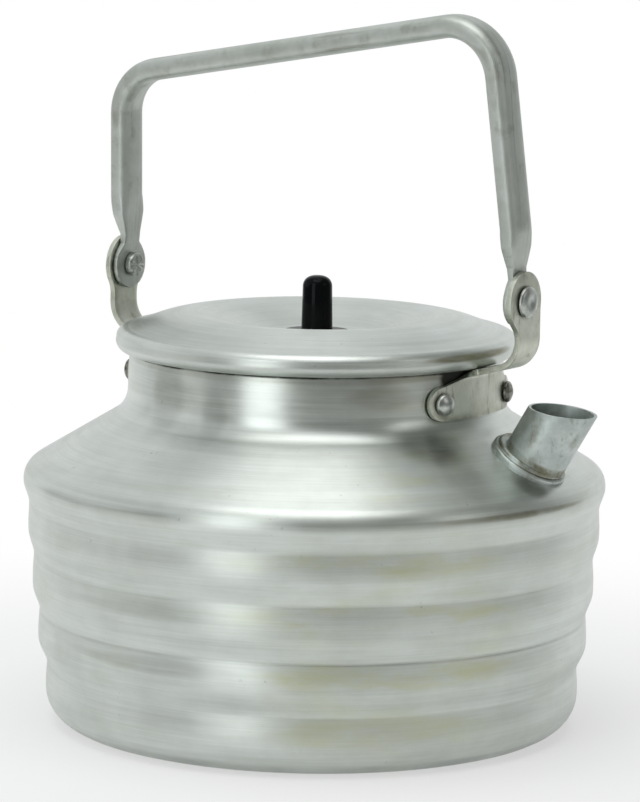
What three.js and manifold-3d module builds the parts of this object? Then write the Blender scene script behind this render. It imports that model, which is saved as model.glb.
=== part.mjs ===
// Camping kettle in spun aluminium, in millimetres, +Z up.
// The origin is the centre of the flat base; the spout points along +X, and the bail swings about the X direction.
import * as THREE from 'three';
import { mergeVertices } from 'three/addons/utils/BufferGeometryUtils.js';
import Module from 'manifold-3d';

const wasm = await Module();
wasm.setup();

// Fits shared by all pieces
const clearance = 0.3;
const cutOverrun = 4;
const holeClearance = 0.3;

// Pot body: one spun sheet with a stepped wall, each band a little narrower than the one above
const bodySheet = 1.5;
const bodyRadius = 85;
const baseCornerRadius = 10;
const shoulderCornerHeight = 75.9;
const bandRadiusShares = [0.918, 0.945, 0.965, 0.981, 1];
const grooveHeightShares = [0.229, 0.435, 0.651, 0.85];
const grooveDepth = 0.25;
const grooveBlend = 3;
const curlHeight = 7.6;
const curlShares = [0.3, 0.65, 1];
const curlBulge = 1.5;
const shoulderCornerRadius = 6.4;
const shoulderSlope = THREE.MathUtils.degToRad( 31.2 );
const neckRadius = 54.9;
const neckFootRadius = 7.2;
const neckTaper = 0.6;
const neckRise = 15.87;

// Spout: a short tube leaning out of the shoulder, its mouth cut nearly level
const spoutRadius = 9.15;
const spoutSwing = THREE.MathUtils.degToRad( 3 );
const spoutSheet = 1.1;
const spoutLean = THREE.MathUtils.degToRad( 31 );
const spoutFootShare = 0.569;
const spoutLength = 17.8;
const spoutMouthTilt = THREE.MathUtils.degToRad( 7 );
const spoutBeadRadius = 11.4;
const spoutBeadShift = 1.2;
const spoutBeadHeight = 1.6;
const spoutBeadRounding = 0.8;
const spoutStepRadius = 10.1;
const spoutStepHeight = 2.5;
const spoutLipRadius = 10.9;
const spoutLipHeight = 1;

// Lid: one spun sheet with a dished top, a folded rim and a short skirt that plugs the neck
const lidSheet = 1.2;
const lidOverhang = 3.5;
const lidNoseRadius = 3.2;
const lidNoseRise = 3.2;
const lidNoseFootRadius = 2.3;
const lidNoseDrop = 2.4;
const lidSkirtClearance = 0.6;
const lidSkirtDepth = 5.2;
const lidSkirtBend = 0.8;
const lidHubRadius = 11;
const lidHubRise = 3.5;
const lidCrestRise = 10;
const lidDishRadiusShares = [0.18, 0.385, 0.565, 0.68, 0.79, 0.915];
const lidDishHeightShares = [0.32, 0.74, 1, 0.955, 0.8, 0.51];

// Knob, its washers and the screw that holds it
const knobFootRadius = 4.55;
const knobNeckRadius = 4.3;
const knobHeight = 16;
const knobDomeHeight = 3.4;
const knobThreadDepth = 10;
const knobWasherRadius = 9.8;
const knobWasherThickness = 1;
const knobScrewRadius = 2;
const knobScrewGrip = 8;
const knobScrewHeadRadius = 3.8;
const knobScrewHeadHeight = 2.4;
const knobScrewSlotWidth = 1;
const knobScrewSlotDepth = 1.1;
const lidWasherRadius = 6;
const lidWasherThickness = 1;

// Ears: a strap riveted on the neck, with a tab bent out under the lid and up to a round eye
const earSheet = 1.6;
const earShelfDrop = 0.6;
const earStrapEndRadius = 4.8;
const earStrapRise = 3.2;
const earStrapRiseHalfWidth = 6.7;
const earRivetSpread = THREE.MathUtils.degToRad( 16.7 );
const earTabWidth = 10.6;
const earTabShift = 1.6;
const earShelfRise = 3.4;
const earInnerBend = 0.8;
const earOuterBend = 9.5;
const earLidGap = 10.7;
const earEyeHalfWidth = 8.2;
const earEyeHalfHeight = 8.6;
const pivotRise = 19.4;

// Rivets: strap rivets through the neck, pivot rivets through the eyes
const strapRivetRadius = 2;
const strapRivetHeadRadius = 3.5;
const strapRivetHeadHeight = 1.9;
const strapRivetTailRadius = 3.2;
const strapRivetTailHeight = 0.9;
const pivotRivetRadius = 2.5;
const pivotRivetHeadRadius = 4.5;
const pivotRivetHeadHeight = 1.9;
const pivotRivetTailRadius = 3;
const pivotRivetTailHeight = 1.2;

// Bail: a flattened tube, taller over the spout than at the back, pinched flat at both eyes
const bailThickness = 6.6;
const bailWidth = 10.9;
const bailEdgeRadius = 2.6;
const bailFlatEdgeShare = 0.49;
const bailEyeRadius = 7.2;
const bailEyeThickness = 1.6;
const bailPinchWidth = 7.4;
const bailPinchThickness = 2.4;
const bailPinchHeight = 9.4;
const bailFlareHeight = 20.5;
const bailWaistHeight = 15.5;
const bailBackBendRadius = 14;
const bailFrontBendRadius = 15.5;
const bailBackHeight = 57;
const bailFrontFootInset = 1.6;
const bailFrontTopInset = 8.2;
const bailFrontHeight = 78.9;
const bailRestLean = THREE.MathUtils.degToRad( 1.9 );

// Facets
const bodyFacets = 42;
const lidFacets = 36;
const spoutFacets = 20;
const smallFacets = 12;
const bendFacets = 3;

// Places that several pieces share, worked out from the sizes above
const neckFootHeight = shoulderCornerHeight + ( bodyRadius - neckRadius ) * Math.tan( shoulderSlope );
const neckMouthRadius = neckRadius - neckTaper;
const neckMouthHeight = neckFootHeight + neckRise;
const lidRimRadius = neckRadius + lidOverhang;
const earFace = lidRimRadius + earLidGap + earSheet;
const earBendHeight = neckMouthHeight - earShelfDrop;
const earStrapHeight = earBendHeight - earInnerBend - earStrapRise - earStrapEndRadius;
const pivotHeight = neckMouthHeight + pivotRise;

// Colour, roughness and metalness of each finish
const finishes = {
	spun: new THREE.MeshStandardMaterial( { color: 0xb9beb8, roughness: 0.38, metalness: 0.95 } ),
	sheet: new THREE.MeshStandardMaterial( { color: 0xa9aea6, roughness: 0.42, metalness: 0.95 } ),
	rivet: new THREE.MeshStandardMaterial( { color: 0x9aa09b, roughness: 0.35, metalness: 0.95 } ),
	screw: new THREE.MeshStandardMaterial( { color: 0x8d9194, roughness: 0.3, metalness: 1 } ),
	washer: new THREE.MeshStandardMaterial( { color: 0x4b4d4a, roughness: 0.5, metalness: 0.8 } ),
	knob: new THREE.MeshStandardMaterial( { color: 0x0b0c0e, roughness: 0.15, metalness: 0 } )
};

// Only positions, shared vertices merged, and no triangle folded to a line
function closedGeometry( geometry ) {

	const bare = geometry.index ? geometry.toNonIndexed() : geometry.clone();
	bare.deleteAttribute( 'normal' );
	bare.deleteAttribute( 'uv' );
	const merged = mergeVertices( bare );
	const corners = merged.index.array;
	const kept = [];
	for ( let i = 0; i < corners.length; i += 3 ) {

		const [ a, b, c ] = corners.slice( i, i + 3 );
		if ( a !== b && b !== c && c !== a ) kept.push( a, b, c );

	}

	merged.setIndex( kept );
	return merged;

}

function solidFrom( geometry ) {

	const closed = closedGeometry( geometry );
	const vertProperties = new Float32Array( closed.attributes.position.array );
	const triVerts = new Uint32Array( closed.index.array );
	return new wasm.Manifold( new wasm.Mesh( { numProp: 3, vertProperties, triVerts } ) );

}

function geometryFrom( solid ) {

	const mesh = solid.getMesh();
	const geometry = new THREE.BufferGeometry();
	geometry.setAttribute( 'position', new THREE.BufferAttribute( mesh.vertProperties, mesh.numProp ) );
	geometry.setIndex( new THREE.BufferAttribute( mesh.triVerts, 1 ) );
	return geometry;

}

// A path of corners [ radius, height, rounding ] with each rounding drawn as an arc
function roundedPath( corners, steps = bendFacets ) {

	const points = [];
	corners.forEach( ( [ r, z, rounding = 0 ], i ) => {

		const here = new THREE.Vector2( r, z );
		if ( rounding === 0 ) {

			points.push( here );
			return;

		}

		const back = new THREE.Vector2( ...corners[ i - 1 ] ).sub( here ).normalize();
		const on = new THREE.Vector2( ...corners[ i + 1 ] ).sub( here ).normalize();
		const half = Math.acos( THREE.MathUtils.clamp( back.dot( on ), - 1, 1 ) ) / 2;
		const centre = back.clone().add( on ).setLength( rounding / Math.sin( half ) ).add( here );
		const from = back.clone().multiplyScalar( rounding / Math.tan( half ) ).add( here ).sub( centre );
		const turn = ( Math.PI - 2 * half ) * Math.sign( back.cross( on ) ) * - 1;
		for ( let k = 0; k <= steps; k ++ ) {

			points.push( from.clone().rotateAround( new THREE.Vector2(), turn * k / steps ).add( centre ) );

		}

	} );
	return points;

}

// The same path moved sideways: a positive distance moves it to the left of its direction
function offsetPath( points, distance ) {

	return points.map( ( point, i ) => {

		const before = points[ Math.max( i - 1, 0 ) ];
		const after = points[ Math.min( i + 1, points.length - 1 ) ];
		const into = ( i > 0 ? point.clone().sub( before ) : after.clone().sub( point ) ).normalize();
		const out = ( i < points.length - 1 ? after.clone().sub( point ) : point.clone().sub( before ) ).normalize();
		const side = new THREE.Vector2( - into.y - out.y, into.x + out.x ).normalize();
		const mitre = side.dot( new THREE.Vector2( - into.y, into.x ) );
		return point.clone().addScaledVector( side, distance / mitre );

	} );

}

// A sheet revolved about Z: the path is one face of the sheet, and its other face lies to one side
function spunSheet( path, sheet, facets ) {

	const other = offsetPath( path, sheet ).map( ( p ) => new THREE.Vector2( Math.max( p.x, 0 ), p.y ) );
	return revolved( [ ...path, ...other.reverse() ], facets );

}

// A closed profile of [ radius, height ] revolved about Z, with its faces pointing out
function revolved( profile, facets ) {

	const points = profile.map( ( p ) => p.isVector2 ? p.clone() : new THREE.Vector2( ...p ) );
	const onAxis = points[ 0 ].x === 0 && points[ points.length - 1 ].x === 0;
	if ( THREE.ShapeUtils.area( points ) < 0 ) points.reverse();
	if ( ! onAxis ) points.push( points[ 0 ].clone() );
	const geometry = new THREE.LatheGeometry( points, facets );
	geometry.rotateX( Math.PI / 2 );
	return geometry;

}

// A flat outline in X and Y given thickness along Z
function plate( shape, thickness ) {

	return new THREE.ExtrudeGeometry( shape, { depth: thickness, bevelEnabled: false, curveSegments: bendFacets } );

}

function rod( radius, length, facets = smallFacets ) {

	const geometry = new THREE.CylinderGeometry( radius, radius, length, facets );
	geometry.rotateX( Math.PI / 2 );
	return geometry;

}

// Turns a piece that is drawn along Z so that it lies along +X at a height
function alongX( geometry, reach, height ) {

	geometry.rotateY( Math.PI / 2 );
	geometry.translate( reach, 0, height );
	return geometry;

}

// Pot body
const bandRadii = bandRadiusShares.map( ( share ) => share * bodyRadius );
const grooveHeights = grooveHeightShares.map( ( share ) => share * shoulderCornerHeight );

function neckCorners() {

	return [
		[ bodyRadius, shoulderCornerHeight, shoulderCornerRadius ],
		[ neckRadius, neckFootHeight, neckFootRadius ],
		[ neckMouthRadius, neckMouthHeight ]
	];

}

function shoulderCorners() {

	return [ [ bodyRadius, grooveHeights[ grooveHeights.length - 1 ] + curlHeight / 2 ], ...neckCorners() ];

}

// From each groove the wall curls out to the next band
function bandCorners() {

	const corners = [];
	grooveHeights.forEach( ( height, i ) => {

		const foot = bandRadii[ i ] - grooveDepth;
		corners.push( [ bandRadii[ i ], height - grooveBlend ], [ foot, height ] );
		curlShares.forEach( ( share ) => {

			const swell = Math.sin( share * Math.PI / 2 ) ** curlBulge;
			corners.push( [ THREE.MathUtils.lerp( foot, bandRadii[ i + 1 ], swell ), height + share * curlHeight ] );

		} );

	} );
	corners.pop();
	return corners;

}

function potPath() {

	return roundedPath( [
		[ 0, 0 ],
		[ bandRadii[ 0 ], 0, baseCornerRadius ],
		...bandCorners(),
		...neckCorners()
	] );

}

function makePotBody() {

	let pot = solidFrom( spunSheet( potPath(), bodySheet, bodyFacets ) );
	pot = pot.subtract( solidFrom( spoutPlaced( rod( spoutRadius + holeClearance, spoutHoleLength, spoutFacets ) ) ) );
	earSides.forEach( ( side ) => {

		rivetSides.forEach( ( rivetSide ) => {

			const hole = alongX( rod( strapRivetRadius + holeClearance, strapHoleLength ), neckRadius, earStrapHeight );
			pot = pot.subtract( solidFrom( hole.rotateZ( rivetTurn( side, rivetSide ) ) ) );

		} );

	} );
	return geometryFrom( pot );

}

// Spout: drawn along Z with its foot on the shoulder at the origin, then leant over and moved to the shoulder
const spoutFootRadius = THREE.MathUtils.lerp( neckRadius, bodyRadius, spoutFootShare );
const spoutFootHeight = shoulderCornerHeight + ( bodyRadius - spoutFootRadius ) * Math.tan( shoulderSlope );
const spoutMouthRadius = spoutFootRadius + spoutLength * Math.sin( spoutLean );
const spoutMouthHeight = spoutFootHeight + spoutLength * Math.cos( spoutLean );
const spoutHoleLength = 2 * spoutBeadRadius;

function spoutPlaced( geometry ) {

	geometry.rotateY( spoutLean );
	geometry.translate( spoutFootRadius, 0, spoutFootHeight );
	geometry.rotateZ( spoutSwing );
	return geometry;

}

// The pot wall round the spout, thickened by the clearance on both faces
function shoulderSeat() {

	const path = roundedPath( shoulderCorners() );
	const above = offsetPath( path, - clearance );
	const below = offsetPath( path, bodySheet + clearance );
	return solidFrom( revolved( [ ...above, ...below.reverse() ], bodyFacets ) );

}

// The tube with its bead above the wall and its turned lip below it
function makeSpout() {

	const inside = spoutRadius - spoutSheet;
	const core = spoutRadius - spoutSheet / 2;
	const lipFoot = - bodySheet - clearance - spoutLipHeight;
	const tube = revolved( [
		[ inside, spoutLength + 2 * spoutRadius ],
		[ inside, lipFoot ],
		[ spoutRadius, lipFoot ],
		[ spoutRadius, spoutLength + 2 * spoutRadius ]
	], spoutFacets );
	const lip = revolved( [
		[ core, lipFoot ],
		[ spoutLipRadius, lipFoot ],
		[ spoutLipRadius, - bodySheet / 2 ],
		[ core, - bodySheet / 2 ]
	], spoutFacets );
	const bead = revolved( [
		...roundedPath( [
			[ core - spoutBeadShift, - bodySheet / 2 ],
			[ spoutBeadRadius, - bodySheet / 2 ],
			[ spoutBeadRadius, spoutBeadHeight, spoutBeadRounding ],
			[ spoutStepRadius, spoutBeadHeight ],
			[ spoutStepRadius, spoutStepHeight, spoutSheet / 2 ],
			[ core - spoutBeadShift, spoutStepHeight ]
		] )
	], spoutFacets );
	bead.translate( - spoutBeadShift, 0, 0 );
	const bore = rod( inside + spoutSheet / 4, spoutHoleLength, spoutFacets );
	const seat = shoulderSeat().subtract( solidFrom( spoutPlaced( rod( spoutRadius, spoutHoleLength, spoutFacets ) ) ) );
	const rings = solidFrom( spoutPlaced( bead ) ).add( solidFrom( spoutPlaced( lip ) ) ).subtract( seat );
	const mouthCut = rod( 2 * spoutRadius, 2 * spoutLength, spoutFacets );
	mouthCut.translate( 0, 0, spoutLength );
	mouthCut.rotateY( spoutMouthTilt );
	mouthCut.translate( spoutMouthRadius, 0, spoutMouthHeight );
	mouthCut.rotateZ( spoutSwing );
	const rimmed = rings.subtract( solidFrom( spoutPlaced( bore ) ) ).add( solidFrom( spoutPlaced( tube ) ) );
	return geometryFrom( rimmed.subtract( solidFrom( mouthCut ) ) );

}

// Lid
const lidFold = neckMouthHeight + clearance;
const lidHubHeight = lidFold + lidHubRise;
const lidSkirtRadius = neckMouthRadius - bodySheet - lidSkirtClearance;

function lidPath() {

	const rimCentre = lidRimRadius - lidNoseRadius;
	const screwHole = knobScrewRadius + holeClearance;
	const dish = lidDishRadiusShares.map( ( share, i ) => new THREE.Vector2(
		THREE.MathUtils.lerp( lidHubRadius, rimCentre, share ),
		THREE.MathUtils.lerp( lidHubHeight, lidFold + lidCrestRise, lidDishHeightShares[ i ] ) ) );
	const noseHeight = lidFold + lidNoseDrop;
	const noseFoot = lidRimRadius - lidNoseFootRadius;
	const top = new THREE.SplineCurve( [
		new THREE.Vector2( lidHubRadius, lidHubHeight ),
		...dish,
		new THREE.Vector2( rimCentre, noseHeight + lidNoseRise )
	] ).getPoints( 2 * dish.length );
	const noseTop = new THREE.EllipseCurve( rimCentre, noseHeight, lidNoseRadius, lidNoseRise,
		Math.PI / 2, 0, true ).getPoints( bendFacets ).slice( 1 );
	const noseUnder = new THREE.EllipseCurve( noseFoot, noseHeight, lidNoseFootRadius, lidNoseDrop,
		0, - Math.PI / 2, true ).getPoints( bendFacets ).slice( 1 );
	const skirt = roundedPath( [
		[ noseFoot, lidFold ],
		[ lidSkirtRadius, lidFold, lidSkirtBend ],
		[ lidSkirtRadius, lidFold - lidSkirtDepth ]
	] );
	return [ new THREE.Vector2( screwHole, lidHubHeight ), ...top, ...noseTop, ...noseUnder, ...skirt.slice( 1 ) ];

}

function makeLid() {

	return spunSheet( lidPath(), - lidSheet, lidFacets );

}

// Knob stack, from the screw head under the lid up to the knob's dome
const knobWasherFoot = lidHubHeight + clearance;
const knobFoot = knobWasherFoot + knobWasherThickness + clearance;
const lidWasherTop = lidHubHeight - lidSheet - clearance;
const knobScrewSeat = lidWasherTop - lidWasherThickness - clearance;

function makeKnob() {

	const bore = knobScrewRadius + holeClearance;
	const dome = new THREE.EllipseCurve( 0, knobFoot + knobHeight - knobDomeHeight, knobNeckRadius, knobDomeHeight,
		0, Math.PI / 2 ).getPoints( 2 * bendFacets );
	dome[ dome.length - 1 ].x = 0;
	return revolved( [
		[ 0, knobFoot + knobThreadDepth ],
		[ bore, knobFoot + knobThreadDepth ],
		[ bore, knobFoot ],
		[ knobFootRadius, knobFoot ],
		...dome
	], smallFacets );

}

function washer( radius, bore, foot, thickness ) {

	return revolved( [ [ bore, foot ], [ radius, foot ], [ radius, foot + thickness ], [ bore, foot + thickness ] ], smallFacets );

}

function makeKnobScrew() {

	const shank = revolved( [
		[ 0, knobScrewSeat - knobScrewHeadHeight ],
		...roundedPath( [
			[ 0, knobScrewSeat - knobScrewHeadHeight ],
			[ knobScrewHeadRadius, knobScrewSeat - knobScrewHeadHeight, knobScrewHeadHeight / 2 ],
			[ knobScrewHeadRadius, knobScrewSeat ]
		] ).slice( 1 ),
		[ knobScrewRadius, knobScrewSeat ],
		[ knobScrewRadius, knobFoot + knobScrewGrip ],
		[ 0, knobFoot + knobScrewGrip ]
	], smallFacets );
	const slot = new THREE.BoxGeometry( 2 * knobScrewHeadRadius + cutOverrun, knobScrewSlotWidth, 2 * knobScrewSlotDepth );
	slot.translate( 0, 0, knobScrewSeat - knobScrewHeadHeight );
	return geometryFrom( solidFrom( shank ).subtract( solidFrom( slot ) ) );

}

// Ears, drawn on the spout side and turned half round for the back
const earSides = [ 1, - 1 ];
const rivetSides = [ 1, - 1 ];
const strapReach = ( neckRadius + earSheet ) * Math.sin( earRivetSpread );
const strapHoleLength = 2 * ( bodySheet + earSheet + cutOverrun );

function rivetTurn( side, rivetSide ) {

	return ( side > 0 ? 0 : Math.PI ) + rivetSide * earRivetSpread;

}

// The ear seen from in front: round ends at the rivets, raised in the middle where the tab leaves it
function earFrontOutline() {

	const crest = earStrapEndRadius + earStrapRise;
	const tall = pivotHeight - earStrapHeight;
	const shape = new THREE.Shape();
	shape.absarc( strapReach, 0, earStrapEndRadius, - Math.PI / 2, Math.PI / 2, false );
	shape.lineTo( earTabShift + earStrapRiseHalfWidth, crest );
	shape.lineTo( earTabShift + earStrapRiseHalfWidth, tall );
	shape.lineTo( earTabShift - earStrapRiseHalfWidth, tall );
	shape.lineTo( earTabShift - earStrapRiseHalfWidth, crest );
	shape.lineTo( - strapReach, earStrapEndRadius );
	shape.absarc( - strapReach, 0, earStrapEndRadius, Math.PI / 2, 3 * Math.PI / 2, false );
	return shape;

}

// The ear seen from above: its raised middle narrows in two hollow curves to the tab
function earTopOutline() {

	const flare = earStrapRiseHalfWidth - earTabWidth / 2;
	const side = strapReach + earStrapEndRadius + earTabShift + cutOverrun;
	const shape = new THREE.Shape();
	shape.moveTo( 0, - side );
	shape.lineTo( neckRadius + earSheet, - side );
	shape.lineTo( neckRadius + earSheet, - earStrapRiseHalfWidth );
	shape.absarc( neckRadius + earSheet + flare, - earStrapRiseHalfWidth, flare, Math.PI, Math.PI / 2, true );
	shape.lineTo( earShelfEnd, - earTabWidth / 2 );
	shape.lineTo( earShelfEnd, earTabWidth / 2 );
	shape.absarc( neckRadius + earSheet + flare, earStrapRiseHalfWidth, flare, - Math.PI / 2, - Math.PI, true );
	shape.lineTo( neckRadius + earSheet, side );
	shape.lineTo( 0, side );
	return shape;

}

// The ear from the side, as a closed profile: up the neck, out under the lid's rim, then up to the eye
function earProfile() {

	const bendRadius = earInnerBend + earSheet + clearance;
	const plateReach = earFace - earSheet - clearance;
	const line = roundedPath( [
		[ bodyRadius, shoulderCornerHeight ],
		[ neckRadius, neckFootHeight, neckFootRadius ],
		[ neckMouthRadius, earBendHeight, bendRadius ],
		[ plateReach, earBendHeight + earShelfRise, earOuterBend - earSheet - clearance ],
		[ plateReach, pivotHeight ]
	], 2 * bendFacets );
	return [ ...offsetPath( line, - clearance ), ...offsetPath( line, - clearance - earSheet ).reverse() ];

}

// Strap and shelf follow the round neck; the part that stands up beyond them is flat
const earShelfEnd = neckRadius + ( earFace - neckRadius ) / 2;

function makeEarSheet() {

	const front = plate( earFrontOutline(), 2 * neckRadius );
	front.rotateZ( Math.PI / 2 );
	front.rotateY( Math.PI / 2 );
	front.translate( 0, 0, earStrapHeight );
	const top = plate( earTopOutline(), pivotHeight );
	top.translate( 0, earTabShift, 0 );
	const round = solidFrom( revolved( earProfile(), bodyFacets ) )
		.intersect( solidFrom( front ) )
		.intersect( solidFrom( top ) );
	const side = plate( new THREE.Shape( earProfile() ), earTabWidth );
	side.translate( 0, 0, - earTabShift - earTabWidth / 2 );
	side.rotateX( Math.PI / 2 );
	const beyond = new THREE.BoxGeometry( earFace - neckRadius, 2 * earTabWidth, pivotHeight );
	beyond.translate( earShelfEnd - earSheet + ( earFace - neckRadius ) / 2, 0, earStrapHeight + pivotHeight / 2 );
	return round.add( solidFrom( side ).intersect( solidFrom( beyond ) ) );

}

function makeEar() {

	const eyeShape = new THREE.Shape();
	eyeShape.absellipse( 0, 0, earEyeHalfHeight, earEyeHalfWidth, 0, 2 * Math.PI, false );
	const eye = new THREE.ExtrudeGeometry( eyeShape, { depth: earSheet, bevelEnabled: false, curveSegments: spoutFacets } );
	let ear = makeEarSheet().add( solidFrom( alongX( eye, earFace - earSheet, pivotHeight ) ) );
	ear = ear.subtract( solidFrom( alongX( rod( pivotRivetRadius + holeClearance, earSheet + 2 * cutOverrun ), earFace, pivotHeight ) ) );
	rivetSides.forEach( ( rivetSide ) => {

		const hole = alongX( rod( strapRivetRadius + holeClearance, strapHoleLength ), neckRadius, earStrapHeight );
		ear = ear.subtract( solidFrom( hole.rotateZ( rivetTurn( 1, rivetSide ) ) ) );

	} );
	return geometryFrom( ear );

}

// A rivet drawn along +Z: a flat tail, a shank and a domed head above the two seats
function rivet( radius, tail, grip, head ) {

	const dome = new THREE.EllipseCurve( 0, grip, head.radius, head.height, 0, Math.PI / 2 ).getPoints( bendFacets );
	dome[ dome.length - 1 ].x = 0;
	return revolved( [
		[ 0, - tail.height ],
		...roundedPath( [
			[ 0, - tail.height ],
			[ tail.radius, - tail.height, tail.height / 2 ],
			[ tail.radius, 0 ]
		], 2 ).slice( 1 ),
		[ radius, 0 ],
		[ radius, grip ],
		...dome
	], smallFacets );

}

// A flat tail inside the round neck seats where its edge would touch the wall
function makeStrapRivet() {

	const tail = { radius: strapRivetTailRadius, height: strapRivetTailHeight };
	const head = { radius: strapRivetHeadRadius, height: strapRivetHeadHeight };
	const neckInside = neckMouthRadius - bodySheet;
	const tailSeat = Math.sqrt( neckInside ** 2 - tail.radius ** 2 ) - clearance;
	const headSeat = neckRadius + clearance + earSheet + clearance;
	return alongX( rivet( strapRivetRadius, tail, headSeat - tailSeat, head ), tailSeat, 0 );

}

function makePivotRivet() {

	const tail = { radius: pivotRivetTailRadius, height: pivotRivetTailHeight };
	const head = { radius: pivotRivetHeadRadius, height: pivotRivetHeadHeight };
	const tailSeat = bailEyeInner - clearance;
	return alongX( rivet( pivotRivetRadius, tail, earFace + clearance - tailSeat, head ), tailSeat, 0 );

}

// Bail
const bailEyeOuter = earFace - earSheet - clearance;
const bailEyeInner = bailEyeOuter - bailEyeThickness;

// Points of a rounded rectangle, as [ across the sheet, along the pivot's swing ]
function bailSection( thickness, width ) {

	const rounding = Math.min( bailEdgeRadius, bailFlatEdgeShare * thickness );
	const signs = [ [ 1, 1 ], [ - 1, 1 ], [ - 1, - 1 ], [ 1, - 1 ] ];
	return signs.flatMap( ( [ sx, sy ], quarter ) => [ 0, 1, 2, 3 ].map( ( k ) => {

		const angle = ( quarter + k / 3 ) * Math.PI / 2;
		return [
			sx * ( thickness / 2 - rounding ) + rounding * Math.cos( angle ),
			sy * ( width / 2 - rounding ) + rounding * Math.sin( angle )
		];

	} ) );

}

// A closed skin over sections that all have as many points
function loft( rings ) {

	const count = rings[ 0 ].length;
	const centreOf = ( ring ) => ring.reduce( ( sum, p ) => sum.add( p ), new THREE.Vector3() ).divideScalar( count );
	const points = [ ...rings.flat(), centreOf( rings[ 0 ] ), centreOf( rings[ rings.length - 1 ] ) ];
	const faces = [];
	const last = ( rings.length - 1 ) * count;
	for ( let k = 0; k < count; k ++ ) {

		const next = ( k + 1 ) % count;
		for ( let i = 0; i < rings.length - 1; i ++ ) {

			const a = i * count;
			faces.push( a + k, a + next, a + count + k, a + next, a + count + next, a + count + k );

		}

		faces.push( points.length - 2, next, k, points.length - 1, last + k, last + next );

	}

	const geometry = new THREE.BufferGeometry().setFromPoints( points );
	geometry.setIndex( faces );
	return geometry;

}

// The bail's centre line from the back eye over the top to the front eye
function bailLine() {

	const eyeCentre = bailEyeOuter - bailEyeThickness / 2;
	const pinchCentre = bailEyeOuter - bailPinchThickness / 2;
	const frontFoot = bailEyeOuter - bailFrontFootInset;
	const waistShare = ( bailWaistHeight - bailPinchHeight ) / ( bailFlareHeight - bailPinchHeight );
	return roundedPath( [
		[ - eyeCentre, bailEyeRadius / 2 ],
		[ - pinchCentre, bailPinchHeight ],
		[ THREE.MathUtils.lerp( - pinchCentre, - bailEyeOuter, waistShare ), bailWaistHeight ],
		[ - bailEyeOuter, bailFlareHeight ],
		[ - bailEyeOuter, bailBackHeight, bailBackBendRadius ],
		[ bailEyeOuter - bailFrontTopInset, bailFrontHeight, bailFrontBendRadius ],
		[ frontFoot, bailFlareHeight ],
		[ THREE.MathUtils.lerp( pinchCentre, frontFoot, waistShare ), bailWaistHeight ],
		[ pinchCentre, bailPinchHeight ],
		[ eyeCentre, bailEyeRadius / 2 ]
	], 2 * bendFacets );

}

function makeBailTube() {

	const line = bailLine();
	const sides = offsetPath( line, - 1 );
	const rings = line.map( ( point, i ) => {

		const flare = THREE.MathUtils.clamp( ( point.y - bailPinchHeight ) / ( bailFlareHeight - bailPinchHeight ), 0, 1 );
		const flat = THREE.MathUtils.clamp( point.y / bailPinchHeight, 0, 1 );
		const thickness = flare > 0 ? THREE.MathUtils.lerp( bailPinchThickness, bailThickness, flare )
			: THREE.MathUtils.lerp( bailEyeThickness, bailPinchThickness, flat );
		const spread = THREE.MathUtils.clamp( ( point.y - bailPinchHeight ) / ( bailWaistHeight - bailPinchHeight ), 0, 1 );
		const width = THREE.MathUtils.lerp( bailPinchWidth, bailWidth, spread );
		const side = sides[ i ].clone().sub( point ).normalize();
		return bailSection( thickness, width ).map( ( [ across, along ] ) => new THREE.Vector3(
			point.x + side.x * across, along, point.y + side.y * across ) );

	} );
	return loft( rings );

}

function makeBail() {

	let bail = solidFrom( makeBailTube() );
	earSides.forEach( ( side ) => {

		const eye = rod( bailEyeRadius, bailEyeThickness, spoutFacets );
		bail = bail.add( solidFrom( alongX( eye, side * ( bailEyeInner + bailEyeThickness / 2 ), 0 ) ) );

	} );
	const bore = alongX( rod( pivotRivetRadius + holeClearance, 2 * earFace ), 0, 0 );
	return geometryFrom( bail.subtract( solidFrom( bore ) ) );

}

// Assembly
const kettle = new THREE.Group();

function place( name, geometry, finish, parent = kettle ) {

	const mesh = new THREE.Mesh( closedGeometry( geometry ), finish );
	mesh.name = name;
	parent.add( mesh );
	return mesh;

}

place( 'pot_body', makePotBody(), finishes.spun );
place( 'spout_tube', makeSpout(), finishes.sheet );

const lidGroup = new THREE.Group();
kettle.add( lidGroup );
place( 'lid', makeLid(), finishes.spun, lidGroup );
place( 'knob', makeKnob(), finishes.knob, lidGroup );
place( 'knob_washer', washer( knobWasherRadius, knobScrewRadius + holeClearance, knobWasherFoot, knobWasherThickness ),
	finishes.washer, lidGroup );
place( 'lid_washer', washer( lidWasherRadius, knobScrewRadius + holeClearance, lidWasherTop - lidWasherThickness,
	lidWasherThickness ), finishes.screw, lidGroup );
place( 'knob_screw', makeKnobScrew(), finishes.screw, lidGroup );

const earNames = [ 'front', 'back' ];
const rivetNames = [ 'left', 'right' ];
earSides.forEach( ( side, i ) => {

	place( `ear_${ earNames[ i ] }`, makeEar(), finishes.sheet ).rotation.z = side > 0 ? 0 : Math.PI;
	rivetSides.forEach( ( rivetSide, k ) => {

		const strapRivet = place( `strap_rivet_${ earNames[ i ] }_${ rivetNames[ k ] }`, makeStrapRivet(), finishes.rivet );
		strapRivet.rotation.z = rivetTurn( side, rivetSide );
		strapRivet.position.z = earStrapHeight;

	} );
	const pivotRivet = place( `pivot_rivet_${ earNames[ i ] }`, makePivotRivet(), finishes.rivet );
	pivotRivet.rotation.z = side > 0 ? 0 : Math.PI;
	pivotRivet.position.z = pivotHeight;

} );

// The bail stands a little to one side of upright, as it was left
const bail = place( 'bail', makeBail(), finishes.sheet );
bail.position.z = pivotHeight;
bail.rotation.x = bailRestLean;

export default kettle;
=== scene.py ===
# %% [markdown]
# # A camping kettle in spun aluminium
# The frame is the kettle's CAD model: every node is in metres, stands where it belongs and rides on its
# body. This lesson dresses that frame. Each sheet of metal is made again with smooth curves and given its
# finish, and last come the table, the room and the lamps that the metal shows.

# %% Load the frame
import math

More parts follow.
